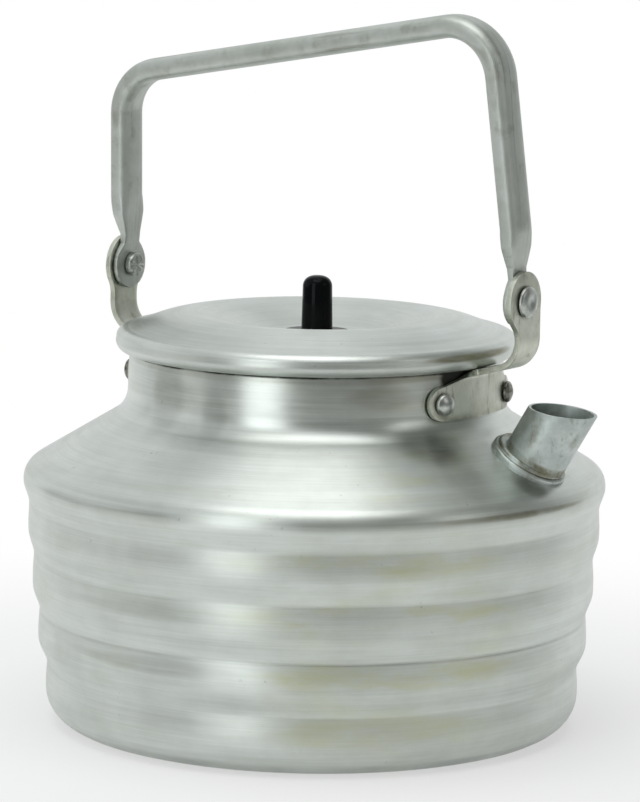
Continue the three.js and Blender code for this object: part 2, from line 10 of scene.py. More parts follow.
import bmesh
import bpy
from mathutils import Matrix, Vector


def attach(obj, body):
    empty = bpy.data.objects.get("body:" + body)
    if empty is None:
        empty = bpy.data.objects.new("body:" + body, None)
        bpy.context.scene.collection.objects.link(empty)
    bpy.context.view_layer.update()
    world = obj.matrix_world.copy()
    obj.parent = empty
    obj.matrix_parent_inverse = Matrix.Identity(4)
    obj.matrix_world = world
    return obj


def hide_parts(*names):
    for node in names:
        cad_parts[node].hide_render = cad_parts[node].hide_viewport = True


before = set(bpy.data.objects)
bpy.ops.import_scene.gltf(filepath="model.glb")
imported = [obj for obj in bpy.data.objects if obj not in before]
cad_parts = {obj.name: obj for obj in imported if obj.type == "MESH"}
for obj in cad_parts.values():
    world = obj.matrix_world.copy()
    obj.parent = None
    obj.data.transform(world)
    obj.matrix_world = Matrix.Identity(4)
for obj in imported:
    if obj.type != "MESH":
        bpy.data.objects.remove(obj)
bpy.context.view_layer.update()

# %% [markdown]
# ## Two units
# The kettle's sizes are easier to read in millimetres, and Blender counts in metres, so each length is
# multiplied by `mm` once. Pieces that rest on each other are drawn up to 0.3 mm apart, as their CAD solids
# are, so that no face lies in another.

# %% Units
mm = 0.001
degree = math.pi / 180
seat_gap = 0.3


def in_mm(lengths):
    return [round(length / mm, 1) for length in lengths]


# %% [markdown]
# ## Camera
# The photograph looks at the kettle from a little above, with a long lens, and is turned by almost one
# degree. A long lens far away keeps the ellipses of the round body flat. The frame is 640 by 802 pixels, so
# its height is the side that the sensor's 36 mm covers.

# %% Camera sizes
camera_azimuth = 34 * degree
camera_elevation = 8.6 * degree
camera_roll = 0.889 * degree
camera_distance = 1200 * mm
aim_height = 94.46 * mm
aim_right = 1.234 * mm
focal_pixels = 4118
picture_height = 802
sensor = 36

# %% Camera
towards = Vector((math.sin(camera_azimuth), -math.cos(camera_azimuth), 0)) * math.cos(camera_elevation)
towards.z = math.sin(camera_elevation)
level_right = Vector((math.cos(camera_azimuth), math.sin(camera_azimuth), 0))
level_up = towards.cross(level_right)
right = level_right * math.cos(camera_roll) + level_up * math.sin(camera_roll)
up = level_up * math.cos(camera_roll) - level_right * math.sin(camera_roll)

camera_data = bpy.data.cameras.new("camera")
camera_data.sensor_width = sensor
camera_data.lens = sensor * focal_pixels / picture_height
camera = bpy.data.objects.new("camera", camera_data)
bpy.context.scene.collection.objects.link(camera)
place = level_right * aim_right + Vector((0, 0, aim_height)) + towards * camera_distance
camera.matrix_world = Matrix.Translation(place) @ Matrix((right, up, towards)).transposed().to_4x4()
bpy.context.scene.camera = camera
print("lens", round(camera_data.lens, 1), "mm, camera at", in_mm(place), "mm")

# %% [markdown]
# ## Drawing outlines
# A spun sheet and a bent sheet are both drawn as a line first. The line is given by its corners, and each
# corner may have a rounding, which is drawn as an arc. A few corners and their roundings say the whole
# shape, and can be changed without touching a single vertex. Outlines are in millimetres.

# %% Rounded lines
def rounded(corners, steps=8):
    """The line through (x, y) corners. A third number rounds its corner with an arc of that radius."""
    points = []
    for i, (x, y, *rounding) in enumerate(corners):
        here = Vector((x, y))
        if not rounding:
            points.append(here)
            continue
        back = (Vector(corners[i - 1][:2]) - here).normalized()
        on = (Vector(corners[i + 1][:2]) - here).normalized()
        half = back.angle(on) / 2
        centre = here + (back + on).normalized() * rounding[0] / math.sin(half)
        start = here + back * rounding[0] / math.tan(half) - centre
        turn = (math.pi - 2 * half) * (-1 if back.cross(on) > 0 else 1)
        for k in range(steps + 1):
            points.append(centre + Matrix.Rotation(turn * k / steps, 2) @ start)
    return points


# %% Smooth lines
def mix(a, b, t):
    """From a at t = 0 to b at t = 1."""
    return a + (b - a) * t


def through(points, steps=6):
    """A smooth line through points, each stretch bent by its neighbours."""
    line = []
    for i in range(len(points) - 1):
        a = points[max(i - 1, 0)]
        b, c = points[i], points[i + 1]
        d = points[min(i + 2, len(points) - 1)]
        for k in range(steps):
            t = k / steps
            line.append(0.5 * (2 * b + (c - a) * t + (2 * a - 5 * b + 4 * c - d) * t ** 2
                               + (3 * b - a - 3 * c + d) * t ** 3))
    return line + [points[-1]]


# %% [markdown]
# ## From mesh to piece
# Spinning an outline about the kettle's axis does what the spinning lathe did to the sheet. The outline is
# one side of the sheet, and a Solidify modifier then gives it its thickness, so the wall is even
# everywhere. Holes are cut with rods, and sharp edges are broken with a small bevel. A finished piece has
# smooth faces, and its edges stay sharp only where the metal really turns a corner.

# %% Spinning
turns = 192
weld_reach = 0.001 * mm


def spin(line, steps=turns, closed=False):
    """The line of (radius, height) in mm, turned once round Z."""
    bm = bmesh.new()
    verts = [bm.verts.new(Vector((p.x, 0, p.y)) * mm) for p in line]
    edges = [bm.edges.new(pair) for pair in zip(verts, verts[1:])]
    if closed:
        edges.append(bm.edges.new((verts[-1], verts[0])))
    bmesh.ops.spin(bm, geom=verts + edges, cent=(0, 0, 0), axis=(0, 0, 1), angle=2 * math.pi, steps=steps,
                   use_merge=True)
    bmesh.ops.remove_doubles(bm, verts=bm.verts, dist=weld_reach)
    bmesh.ops.recalc_face_normals(bm, faces=bm.faces)
    return bm


def as_object(name, bm):
    mesh = bpy.data.meshes.new(name)
    bm.to_mesh(mesh)
    bm.free()
    obj = bpy.data.objects.new(name, mesh)
    bpy.context.scene.collection.objects.link(obj)
    return obj


# %% Walls and holes
def baked(obj):
    """The object's modifiers, worked into its mesh."""
    graph = bpy.context.evaluated_depsgraph_get()
    mesh = bpy.data.meshes.new_from_object(obj.evaluated_get(graph))
    old = obj.data
    obj.modifiers.clear()
    obj.data = mesh
    bpy.data.meshes.remove(old)


def thicken(obj, thickness, offset):
    """Gives a skin its thickness in mm: offset -1 grows it inwards and 0 both ways."""
    wall = obj.modifiers.new("wall", "SOLIDIFY")
    wall.thickness = thickness * mm
    wall.offset = offset
    wall.use_even_offset = True
    baked(obj)


def rod(radius, length, matrix, segments=48):
    """A rod along Z, in mm, put in its place by the matrix."""
    bm = bmesh.new()
    bmesh.ops.create_cone(bm, cap_ends=True, segments=segments, radius1=radius * mm, radius2=radius * mm,
                          depth=length * mm)
    bmesh.ops.transform(bm, matrix=matrix, verts=bm.verts)
    return as_object("rod", bm)


def drill(obj, cutter):
    """Takes the cutter's shape out of the piece."""
    hole = obj.modifiers.new("hole", "BOOLEAN")
    hole.operation = "DIFFERENCE"
    hole.solver = "EXACT"
    hole.object = cutter
    baked(obj)
    bpy.data.objects.remove(cutter)


# %% Edges and finished pieces
smooth_below = 38 * degree


def soften(obj, width, segments=2, angle=60 * degree):
    """Breaks the sharp edges by a width in mm, as a file or a tumbling drum does."""
    bm = bmesh.new()
    bm.from_mesh(obj.data)
    edges = [e for e in bm.edges if len(e.link_faces) == 2 and e.calc_face_angle() > angle]
    bmesh.ops.bevel(bm, geom=edges, offset=width * mm, affect="EDGES", segments=segments, profile=0.5,
                    material=-1, clamp_overlap=True)
    bm.to_mesh(obj.data)
    bm.free()


def finish_piece(obj, body, node, material):
    """Smooth faces, sharp edges where the metal turns a corner, and the piece's place in the frame."""
    bm = bmesh.new()
    bm.from_mesh(obj.data)
    for face in bm.faces:
        face.smooth = True
        face.material_index = 0
    for edge in bm.edges:
        edge.smooth = len(edge.link_faces) == 2 and edge.calc_face_angle() < smooth_below
    bm.to_mesh(obj.data)
    bm.free()
    obj.data.materials.clear()
    obj.data.materials.append(material)
    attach(obj, body)
    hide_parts(node)
    print(f"{obj.name}: {len(obj.data.polygons)} faces, {in_mm(obj.dimensions)} mm")


# %% [markdown]
# ## Shader maths
# Shader maths reads better as sums than as a net of nodes. `Wire` is one socket, and a sum of wires adds
# the Math nodes that it needs. `Net` is a tree of nodes. Its `add` makes any node, first its settings, then
# what goes into its sockets, and its other methods are plain words for the nodes that this lesson uses.

# %% Wires
class Wire:
    def __init__(self, net, socket):
        self.net = net
        self.socket = socket

    def maths(self, operation, *values):
        return self.net.add("ShaderNodeMath", {"operation": operation}, list(values))

    def __add__(self, other):
        return self.maths("ADD", self, other)

    def __sub__(self, other):
        return self.maths("SUBTRACT", self, other)

    def __rsub__(self, other):
        return self.maths("SUBTRACT", other, self)

    def __mul__(self, other):
        return self.maths("MULTIPLY", self, other)

    def __truediv__(self, other):
        return self.maths("DIVIDE", self, other)

    def __pow__(self, other):
        return self.maths("POWER", self, other)

    __radd__ = __add__
    __rmul__ = __mul__

    def between(self, low, high):
        """0 below low, 1 above high, and a soft step between."""
        return self.net.add("ShaderNodeMapRange", {"interpolation_type": "SMOOTHSTEP"},
                            {"Value": self, "From Min": low, "From Max": high})


# %% Nets
class Net:
    """The node tree of a material or of the world."""

    def __init__(self, tree):
        self.tree = tree

    def fill(self, node, inputs):
        pairs = enumerate(inputs) if isinstance(inputs, (list, tuple)) else inputs.items()
        for key, value in pairs:
            if isinstance(value, Wire):
                self.tree.links.new(value.socket, node.inputs[key])
            else:
                node.inputs[key].default_value = value

    def add(self, kind, settings=None, inputs=(), output=0):
        node = self.tree.nodes.new(kind)
        for key, value in (settings or {}).items():
            setattr(node, key, value)
        self.fill(node, inputs)
        return Wire(self, node.outputs[output])

    def place(self):
        return self.add("ShaderNodeTexCoord", output="Object")

    def axes(self, vector=None):
        split = self.add("ShaderNodeSeparateXYZ", None, [vector or self.place()]).socket.node
        return [Wire(self, out) for out in split.outputs]

    def vector(self, x, y, z):
        return self.add("ShaderNodeCombineXYZ", None, [x, y, z])

    def noise(self, vector, scale, detail=3.0, roughness=0.5, distortion=0.0):
        return self.add("ShaderNodeTexNoise", None, {"Vector": vector, "Scale": scale, "Detail": detail,
                                                     "Roughness": roughness, "Distortion": distortion})

    def blend(self, amount, first, second):
        return self.add("ShaderNodeMix", {"data_type": "RGBA"}, {0: amount, 6: first, 7: second}, output=2)

    def bump(self, height, distance, strength, normal=None):
        inputs = {"Height": height, "Distance": distance * mm, "Strength": strength}
        if normal:
            inputs["Normal"] = normal
        return self.add("ShaderNodeBump", None, inputs)

    def rays(self, *kinds):
        """1 where the ray that looks is one of these kinds."""
        outputs = self.add("ShaderNodeLightPath").socket.node.outputs
        return sum(Wire(self, outputs[f"Is {kind} Ray"]) for kind in kinds).between(0, 1)


class Finish(Net):
    """One material. The words that follow its name are sockets of its surface."""

    def __init__(self, name, **sockets):
        self.material = bpy.data.materials.new(name)
        self.material.use_nodes = True
        super().__init__(self.material.node_tree)
        self.surface = self.tree.nodes["Principled BSDF"]
        self.set(**sockets)

    def set(self, **sockets):
        self.fill(self.surface, {name.replace("_", " "): value for name, value in sockets.items()})


# %% [markdown]
# ## Marks of use, and painted shade
# A used kettle isn't marked evenly: stains sit where it was heated and wiped. Shade is painted into the
# colour as well, as dark rings in the creases and dark patches in gaps, under other parts and where the
# metal mirrors something dark. So each such mark has its place. A spot is a soft oval on the round wall, a
# line is a thin ring at one height, and a noise then breaks them up, so that none has an edge.

# %% Spots and lines
def spots(net, marks):
    """Soft ovals, each (angle, height, half angle, half height, strength) in degrees and mm."""
    x, y, z = net.axes()
    angle = y.maths("ARCTAN2", y, x)
    total = 0
    for at, height, half_angle, half_height, strength in marks:
        sideways = (angle - at * degree) / (half_angle * degree)
        upwards = (z - height * mm) / (half_height * mm)
        total = total + (1 - (sideways * sideways + upwards * upwards).between(0.1, 1)) * strength
    return total


def lines(net, marks):
    """Thin rings, each (height, half width, strength) in mm."""
    z = net.axes()[2]
    total = 0
    for height, half_width, strength in marks:
        away = (z - height * mm) / (half_width * mm)
        total = total + (1 - (away * away).between(0, 1)) * strength
    return total


# %% [markdown]
# ## Spun aluminium
# The spinning tool leaves fine rings all round the pot and the lid. A noise that is squeezed along the wall
# and stretched round it draws them: the wall's height counts on the upright parts, and the radius on the
# flat ones. The rings change gloss as well as colour. Over them lie broad grey bands, cloudy patches where
# fat and water were wiped off, dark specks and shallow dents.

# %% Colours of spun aluminium
silver = (0.69, 0.725, 0.695, 1)
silver_dull = (0.52, 0.55, 0.515, 1)
warm_stain = (0.50, 0.515, 0.44, 1)
yellow_stain = (0.56, 0.585, 0.40, 1)
# Very dark colour, for real specks of dirt and for painted shade.
grime_and_shade = (0.05, 0.052, 0.045, 1)
brown = (0.25, 0.245, 0.165, 1)


# %% Spun aluminium
polish_fade = 9


def spun_aluminium(name, wiped, stain_at=None, brown_at=None, painted_shade_and_grime_at=None, polished_from=None):
    metal = Finish(name, Metallic=1.0, Anisotropic=0.55, Anisotropic_Rotation=0.25)
    x, y, z = metal.axes()
    radius = (x * x + y * y) ** 0.5
    along = z - radius * 0.8

    def ringed(across, squeezed, detail, roughness, distortion=0.0):
        squashed = metal.vector(x * across, y * across, along * squeezed)
        return metal.noise(squashed, 1.0, detail, roughness, distortion)

    rings = ringed(30, 2600, 3.0, 0.6)
    bands = ringed(14, 300, 4.0, 0.65)
    wipes = ringed(24, 90, 4.0, 0.6, 0.4)
    clouds = metal.noise(metal.place(), 55.0, 5.0, 0.6)
    specks = metal.noise(metal.place(), 420.0, 2.0, 0.5).between(0.70, 0.78) * clouds.between(0.45, 0.7)
    tone = (rings * 0.28 + bands * 0.38 + clouds * 0.34).between(0.30, 0.70)
    colour = metal.blend(tone, silver_dull, silver)
    colour = metal.blend(wipes.between(0.5, 0.85) * wiped, colour, warm_stain)
    colour = metal.blend(specks * 0.5, colour, grime_and_shade)
    if stain_at:
        stains = ringed(34, 120, 4.0, 0.6).between(0.34, 0.74)
        colour = metal.blend((spots(metal, stain_at) * stains).between(0, 1), colour, yellow_stain)
    if brown_at:
        broken = mix(0.35, 1.25, wipes.between(0.3, 0.75))
        colour = metal.blend((spots(metal, brown_at) * broken).between(0, 1), colour, brown)
    # Painted shade: dark rings and patches in the creases, in gaps, under other parts and where the metal
    # mirrors something dark, with real grime in the ring under the rim.
    if painted_shade_and_grime_at:
        patches, shade_and_grime_lines = painted_shade_and_grime_at
        dirt = (spots(metal, patches) * mix(0.8, 1.1, wipes.between(0.3, 0.75))
                + lines(metal, shade_and_grime_lines) * mix(0.55, 1.25, clouds.between(0.4, 0.6)))
        colour = metal.blend(dirt.between(0, 1), colour, grime_and_shade)
    rough = 0.26 + rings * 0.14 + wipes * 0.12
    if polished_from:
        rough = rough - z.between(polished_from * mm, (polished_from + polish_fade) * mm) * 0.07
    dents = metal.bump(metal.noise(metal.place(), 34.0, 2.0, 0.5), 0.35, 0.35)
    metal.set(Base_Color=colour, Roughness=rough,
              Normal=metal.bump(rings * 0.6 + bands * 0.5, 0.012, 0.6, dents))
    return metal.material


# %% [markdown]
# ## Pot body
# The pot was spun from one disc: a flat base, four steps where each band of the wall overhangs the one
# below, a rounded corner, a sloping shoulder and a short neck. Each step starts at a groove and curls out
# to the next band. The second groove is crisp like a fold and the others are softer. The sheet is drawn on
# its outer face, and the wall grows inwards.

# %% Sizes of the pot
body_radius = 85
band_radii = [share * body_radius for share in (0.918, 0.945, 0.965, 0.981, 1)]
base_rounding = 10
groove_heights = (17.4, 33.0, 49.4, 64.5)
groove_depths = (0.32, 0.38, 0.34, 0.22)
groove_crispness = (0.35, 0.9, 0.35, 0.0)
groove_blend = 5.5
curl_height = 7.8
curl_power = 1.9
curl_steps = 9
shoulder_height = 74.9
shoulder_rounding = 6.0
shoulder_slope = 31.2 * degree
neck_radius = 54.9
neck_foot_height = shoulder_height + (band_radii[4] - neck_radius) * math.tan(shoulder_slope)
neck_foot_rounding = 9
neck_mouth_radius = 54.3
neck_mouth_height = 110
pot_sheet = 1.5


# %% Pot body
def out_of_groove(share, crispness):
    """How far the wall has come out of a groove: a soft curve, or a crisp one like a fold."""
    soft = share * share * (3 - 2 * share)
    return mix(mix(soft, share, 0.4), share ** 0.45, crispness * 0.55)


def pot_line():
    corners = [(0, 0), (band_radii[0], 0, base_rounding)]
    for i, height in enumerate(groove_heights):
        foot = band_radii[i] - groove_depths[i]
        for share in (1, 0.9, 0.8, 0.65, 0.5, 0.35, 0.2, 0.1, 0.05, 0.02, 0):
            lead = out_of_groove(share, groove_crispness[i])
            corners.append((mix(foot, band_radii[i], lead), height - share * groove_blend))
        for k in range(1, curl_steps + 1):
            swell = math.sin(k / curl_steps * math.pi / 2) ** curl_power
            corners.append((mix(foot, band_radii[i + 1], swell), height + k / curl_steps * curl_height))
    # The shoulder's rounding takes the place of the last curl's end.
    corners = corners[:-2]
    corners += [(band_radii[4], shoulder_height, shoulder_rounding),
                (neck_radius, neck_foot_height, neck_foot_rounding), (neck_mouth_radius, neck_mouth_height)]
    return rounded(corners)


pot = as_object("pot", spin(pot_line()))
thicken(pot, pot_sheet, -1)
print("the neck's foot is", round(neck_foot_height, 1), "mm up")

# %% [markdown]
# ## Marks on the pot
# These were placed from the photograph. Yellow stains lie on the bands, the shoulder and the neck,
# and brown ones at the shoulder's corner, under the rim and above the base. The darker marks are painted
# shade: rings in the creases and just above the base, and patches on the neck under the strap, in the gap
# under the rim and on the shoulder under the spout. The ring under the rim is real grime as well. Broad
# faint patches of painted shade, for the dark things that the metal mirrors, darken the left of the neck,
# the corner and the bands.

# %% Marks on the pot
band_stains = [(-48, 61.5, 42, 4.5, 0.45), (-45, 46, 40, 4.5, 0.45), (-38, 29.5, 42, 4.5, 0.5),
               (-40, 12, 45, 7, 0.25), (-38, 38, 38, 52, 0.45), (-102, 29, 12, 3, 0.5)]
neck_stains = [(-30, 84, 24, 9, 0.5), (-30, 103, 16, 6, 0.5)]
shoulder_brown = [(-5, 84, 9, 8, 0.3), (-14, 72.7, 26, 1.3, 0.7)]
neck_brown = [(-36, 103, 15, 5, 0.45), (-104, 102, 13, 6, 0.4), (-70, 108.4, 200, 1.8, 0.4)]
base_brown = [(-20, 7, 30, 6, 0.25)]
# Painted shadow on the neck under the front strap.
strap_shadow = [(-24, 90.5, 13, 6.5, 0.5), (-21, 83, 7, 9, 0.22)]
# Painted shade: the gap between the lid's rim and the strap is darkened nearly to black.
rim_gap_shade = [(-5, 107.3, 13, 5.2, 2.0)]
# Painted shade on the shoulder just under the spout's bead.
under_spout_shade = [(-5.5, 78.5, 5, 3.4, 0.5)]
# Painted shade: a dark line along the shoulder's corner, for a dark reflection there.
corner_shade = [(-20, 72.9, 26, 0.8, 0.25), (-104, 73.3, 27, 1.7, 0.36)]
neck_shade = [(-106, 101, 10, 15, 0.36), (-87, 97, 6, 10, 0.27)]
band_shade = [(-91, 29.5, 28, 3.2, 0.3), (-91, 13.8, 28, 2.8, 0.18), (-91, 45.5, 28, 3.0, 0.2),
              (-95, 61, 20, 3.6, 0.2)]
# Painted shade: thin dark rings in the grooves between the bands.
groove_shade_lines = [(height, 0.9, strength) for height, strength in zip(groove_heights, (0.10, 0.20, 0.08))]
# A dark ring on the neck just under the lid's rim: real grime and painted shade.
rim_grime_and_shade = (neck_mouth_height - 0.7, 0.9, 0.9)
# Painted shade: a thin dark ring just above the base, where the pot meets the table.
base_shade_line = (2.0, 2.2, 0.25)

pot_finish = spun_aluminium(
    "pot_aluminium", 0.55, stain_at=band_stains + neck_stains,
    brown_at=shoulder_brown + neck_brown + base_brown,
    painted_shade_and_grime_at=(strap_shadow + rim_gap_shade + under_spout_shade + corner_shade + neck_shade + band_shade,
              groove_shade_lines + [rim_grime_and_shade, base_shade_line]),
    polished_from=86)

# %% [markdown]
# ## Sheet aluminium
# The ears, the spout and the bail are plain rolled sheet. They have fine scratches along the way that they
# were rolled, and they are greyer than the spun parts because nobody polishes them. Each has its own dirt:
# round the rivets, along a lower edge, or in a ring round a tube.

# %% Dirt on sheet
def dirt_near(metal, clouds, point, reach):
    """Dirt round a rivet, which stands at a point in mm."""
    away = metal.add("ShaderNodeVectorMath", {"operation": "DISTANCE"},
                     [metal.place(), tuple(c * mm for c in point)], output="Value")
    return (1 - away.between(0.55 * reach * mm, reach * mm)) * 0.75


def dirt_below(metal, clouds, height, depth):
    """Dirt that thickens from a height down to its depth below it."""
    z = metal.axes()[2]
    low = 1 - ((z - (height - depth) * mm) / (depth * mm)).between(0, 1)
    return low * clouds.between(0.3, 0.6) * 0.8


def dirt_ring(metal, clouds, foot, axis, height, reach):
    """A ring of dirt round a tube, at a height along its axis."""
    above = metal.add("ShaderNodeVectorMath", {"operation": "DOT_PRODUCT"}, [metal.place(), tuple(axis)],
                      output="Value")
    away = (above - foot.dot(axis) - height * mm) / (reach * mm)
    return (1 - (away * away).between(0, 1)) * mix(0.3, 1.1, clouds.between(0.4, 0.6))


# %% Sheet aluminium
def sheet_aluminium(name, tint, worn, dark, rough=0.34, stretch=(700, 420, 90), cloud_scale=70.0, dirt=()):
    """Rolled sheet in three tones. Each row of dirt is one of the functions above and its numbers."""
    metal = Finish(name, Metallic=1.0)
    place = metal.place()
    x, y, z = metal.axes()
    clouds = metal.noise(place, cloud_scale, 5.0, 0.66)
    grain = metal.noise(place, 900.0, 2.0, 0.5)
    streaks = metal.noise(metal.vector(x * stretch[0], y * stretch[1], z * stretch[2]), 1.0, 3.0, 0.7)
    scratches = streaks.between(0.52, 0.76)
    patches = metal.noise(place, 150.0, 4.0, 0.6).between(0.55, 0.75)
    colour = metal.blend(clouds.between(0.35, 0.65), tint, worn)
    colour = metal.blend(patches * 0.45, colour, dark)
    colour = metal.blend(scratches * 0.4, colour, worn)
    colour = metal.blend((1 - streaks.between(0.30, 0.45)) * 0.5, colour, dark)
    if dirt:
        masks = [mask(metal, clouds, *numbers) for mask, *numbers in dirt]
        colour = metal.blend(sum(masks).between(0, 1.2), colour, dark)
    metal.set(Base_Color=colour, Roughness=rough + clouds * 0.14 + grain * 0.05 - scratches * 0.06,
              Normal=metal.bump(grain * 0.3 + clouds * 1.5 - scratches * 0.4, 0.03, 0.6))
    return metal.material


# %% [markdown]
# ## Spout
# The spout is a tube that leans out of the shoulder. Its foot goes through a hole, and a rolled bead lies
# on the shoulder round it. It is drawn upright at the origin, its mouth is cut with a tilted plane, and
# then it is leant over and set in its hole. The same moves carry the rod that opens the pot's shoulder.

# %% Sizes of the spout
spout_radius = 9.15
spout_sheet = 0.8
spout_bore = 9.3
spout_foot_depth = 2.8
holding_ring = 1.4
spout_lean = 31 * degree
spout_swing = 3 * degree
spout_mouth_radius = 81.2
spout_mouth_height = 99
spout_mouth_tilt = 7 * degree
bead_radius = 11.4
bead_shift = 1.2
bead_sink = 0.75
bead_height = 1.7
step_radius = 10.1
step_height = 2.6

# %% Where the spout stands
shoulder_at_mouth = shoulder_height + (band_radii[4] - spout_mouth_radius) * math.tan(shoulder_slope)
spout_length = ((spout_mouth_height - shoulder_at_mouth) * math.cos(shoulder_slope)
                / math.cos(spout_lean - shoulder_slope))
spout_foot = Vector((spout_mouth_radius - spout_length * math.sin(spout_lean), 0,
                     spout_mouth_height - spout_length * math.cos(spout_lean))) * mm
set_spout = (Matrix.Rotation(spout_swing, 4, "Z") @ Matrix.Translation(spout_foot)
             @ Matrix.Rotation(spout_lean, 4, "Y"))
spout_axis = set_spout.to_3x3() @ Vector((0, 0, 1))
print("the spout is", round(spout_length, 1), "mm long and starts at", in_mm(spout_foot), "mm")


# %% Tube and bead
def spout_tube():
    """The tube. A ring just above the shoulder keeps the shading of its foot out of the wall above."""
    inside = spout_radius - spout_sheet
    tall = spout_length + 2 * spout_radius
    line = [(inside, -spout_foot_depth), (spout_radius, -spout_foot_depth), (spout_radius, holding_ring),
            (spout_radius, tall), (inside, tall)]
    bm = spin([Vector(p) for p in line], 96, closed=True)
    mouth = Vector((0, 0, spout_length)) * mm
    level = Matrix.Rotation(spout_mouth_tilt - spout_lean, 3, "Y") @ Vector((0, 0, 1))
    cut_edges = bmesh.ops.bisect_plane(bm, geom=bm.verts[:] + bm.edges[:] + bm.faces[:], plane_co=mouth,
                                       plane_no=level, clear_outer=True)["geom_cut"]
    rim = [e for e in cut_edges if isinstance(e, bmesh.types.BMEdge)]
    bmesh.ops.bridge_loops(bm, edges=rim)
    return bm


def spout_bead():
    inner = spout_radius - 0.4 - bead_shift
    line = rounded([(inner, -bead_sink), (bead_radius, -bead_sink), (bead_radius, bead_height, 0.95),
                    (step_radius + 0.35, bead_height - 0.2, 0.25), (step_radius, step_height, 0.6),
                    (spout_radius - bead_shift, step_height + 0.15), (inner, step_height - 0.1)], 6)
    bm = spin(line, 96, closed=True)
    bmesh.ops.translate(bm, verts=bm.verts, vec=(-bead_shift * mm, 0, 0))
    return bm


# %% Spout and the pot's hole
spout = as_object("spout", spout_tube())
soften(spout, 0.22)
bead = as_object("bead", spout_bead())
bm = bmesh.new()
bm.from_mesh(spout.data)
bm.from_mesh(bead.data)
bmesh.ops.transform(bm, matrix=set_spout, verts=bm.verts)
bm.to_mesh(spout.data)
bm.free()
bpy.data.objects.remove(bead)

drill(pot, rod(spout_bore, 20, set_spout, 96))
soften(pot, 0.35, 3)
finish_piece(pot, "kettle", "pot_body", pot_finish)
spout_finish = sheet_aluminium(
    "spout_aluminium", (0.42, 0.47, 0.45, 1), (0.565, 0.61, 0.59, 1), (0.20, 0.195, 0.13, 1), rough=0.36,
    cloud_scale=120.0, dirt=[(dirt_ring, spout_foot, spout_axis, 2.9, 2.2)])
finish_piece(spout, "kettle", "spout_tube", spout_finish)

# %% [markdown]
# ## Lid
# The lid is spun too. Its middle is a shallow dish with the knob at the bottom, its crest is a soft ring,
# and its edge is rolled round a nose and then turned down into a skirt that plugs the neck. The rolled edge
# has a fine groove all round, which the light picks out, and a brown mark above the front strap.

# %% Sizes of the lid
lid_sheet = 1.2
lid_fold = neck_mouth_height + seat_gap
rim_radius = 58.4
nose_radius, nose_rise = 3.2, 3.2
nose_foot_radius, nose_drop, nose_lip = 2.3, 2.4, 0.8
rim_groove_depth, rim_groove_rise, rim_groove_width = 0.2, 0.4, 0.6
skirt_radius = neck_mouth_radius - pot_sheet - 0.6
skirt_depth = 5.2
skirt_rounding = 0.8
hub_radius, hub_height = 11, 113.8
dish = [(19, 115.9), (28, 118.6), (36, 120.3), (41, 120.0), (46, 119.0), (51.4, 117.1)]
screw_bore = 2.3


# %% Lid
def nose_line(nose_height, rim_centre, steps=24):
    """The rolled edge, from its top round to the fold under it."""
    nose = []
    for k in range(1, steps + 1):
        angle = (1 - 2 * k / steps) * math.pi / 2
        upper = angle > 0
        centre = rim_centre if upper else rim_radius - nose_foot_radius
        reach = nose_radius if upper else nose_foot_radius
        height = nose_height + (nose_rise if upper else nose_drop + nose_lip) * math.sin(angle)
        from_groove = (height - nose_height - rim_groove_rise) / rim_groove_width
        groove = rim_groove_depth * math.exp(-from_groove ** 2)
        nose.append(Vector((centre + reach * math.cos(angle) - groove, height)))
    return nose


def lid_line():
    nose_height = lid_fold + nose_drop
    rim_centre = rim_radius - nose_radius
    crest = [(hub_radius, hub_height), *dish, (rim_centre, nose_height + nose_rise)]
    top = through([Vector(p) for p in crest])
    skirt = rounded([(neck_mouth_radius + 0.7, lid_fold), (skirt_radius, lid_fold, skirt_rounding),
                     (skirt_radius, lid_fold - skirt_depth)])
    return [Vector((screw_bore, hub_height))] + top + nose_line(nose_height, rim_centre) + skirt


lid = as_object("lid_sheet", spin(lid_line()))
thicken(lid, lid_sheet, -1)
soften(lid, 0.3)
lid_finish = spun_aluminium("lid_aluminium", 0.3, brown_at=[(-3, 113.5, 26, 1.5, 0.95)])
finish_piece(lid, "lid", "lid", lid_finish)

# %% [markdown]
# ## Knob and washer
# The knob is a moulded post of glossy black plastic, with a slight taper and a domed top whose edge is
# rounder than its middle. It stands on a thin steel disc whose dark colour is partly the steel's own and
# partly painted shade and a painted reflection of the black knob. Both are turned shapes. The screw and
# the washer under the lid keep their CAD solids and only get a finish.

# %% Steel and plastic
def steel(name, tint, dull, rough):
    metal = Finish(name, Metallic=1.0)
    place = metal.place()
    clouds = metal.noise(place, 160.0, 3.0, 0.5)
    fine = metal.noise(place, 1400.0, 2.0, 0.5)
    metal.set(Base_Color=metal.blend(clouds.between(0.35, 0.7), dull, tint),
              Roughness=rough + clouds * 0.16, Normal=metal.bump(fine, 0.02, 0.5))
    return metal.material


def black_plastic(name):
    shell = Finish(name, Base_Color=(0.003, 0.0035, 0.004, 1), IOR=1.3, Specular_IOR_Level=0.2)
    fine = shell.noise(shell.place(), 700.0, 2.0, 0.5)
    smear = shell.noise(shell.place(), 90.0, 3.0, 0.5)
    shell.set(Roughness=0.10 + smear.between(0.4, 0.8) * 0.12, Normal=shell.bump(fine, 0.01, 0.3))
    return shell.material


# %% Knob
washer_foot = hub_height + seat_gap
washer_thickness = 1.25
knob_foot = washer_foot + washer_thickness + 0.05
knob_height = 16
knob_bore_depth = 10
foot_radius, waist_radius, top_radius = 4.55, 4.5, 4.3
dome_height = 3.4


def knob_line():
    line = [(0, knob_bore_depth), (screw_bore, knob_bore_depth), (screw_bore, 0), (foot_radius - 0.25, 0),
            (foot_radius, 0.3), (waist_radius, 3)]
    for k in range(25):
        angle = k / 24 * math.pi / 2
        line.append((top_radius * math.cos(angle) ** 0.8,
                     knob_height - dome_height + dome_height * math.sin(angle) ** 0.9))
    line[-1] = (0, knob_height)
    return [Vector((radius, knob_foot + height)) for radius, height in line]


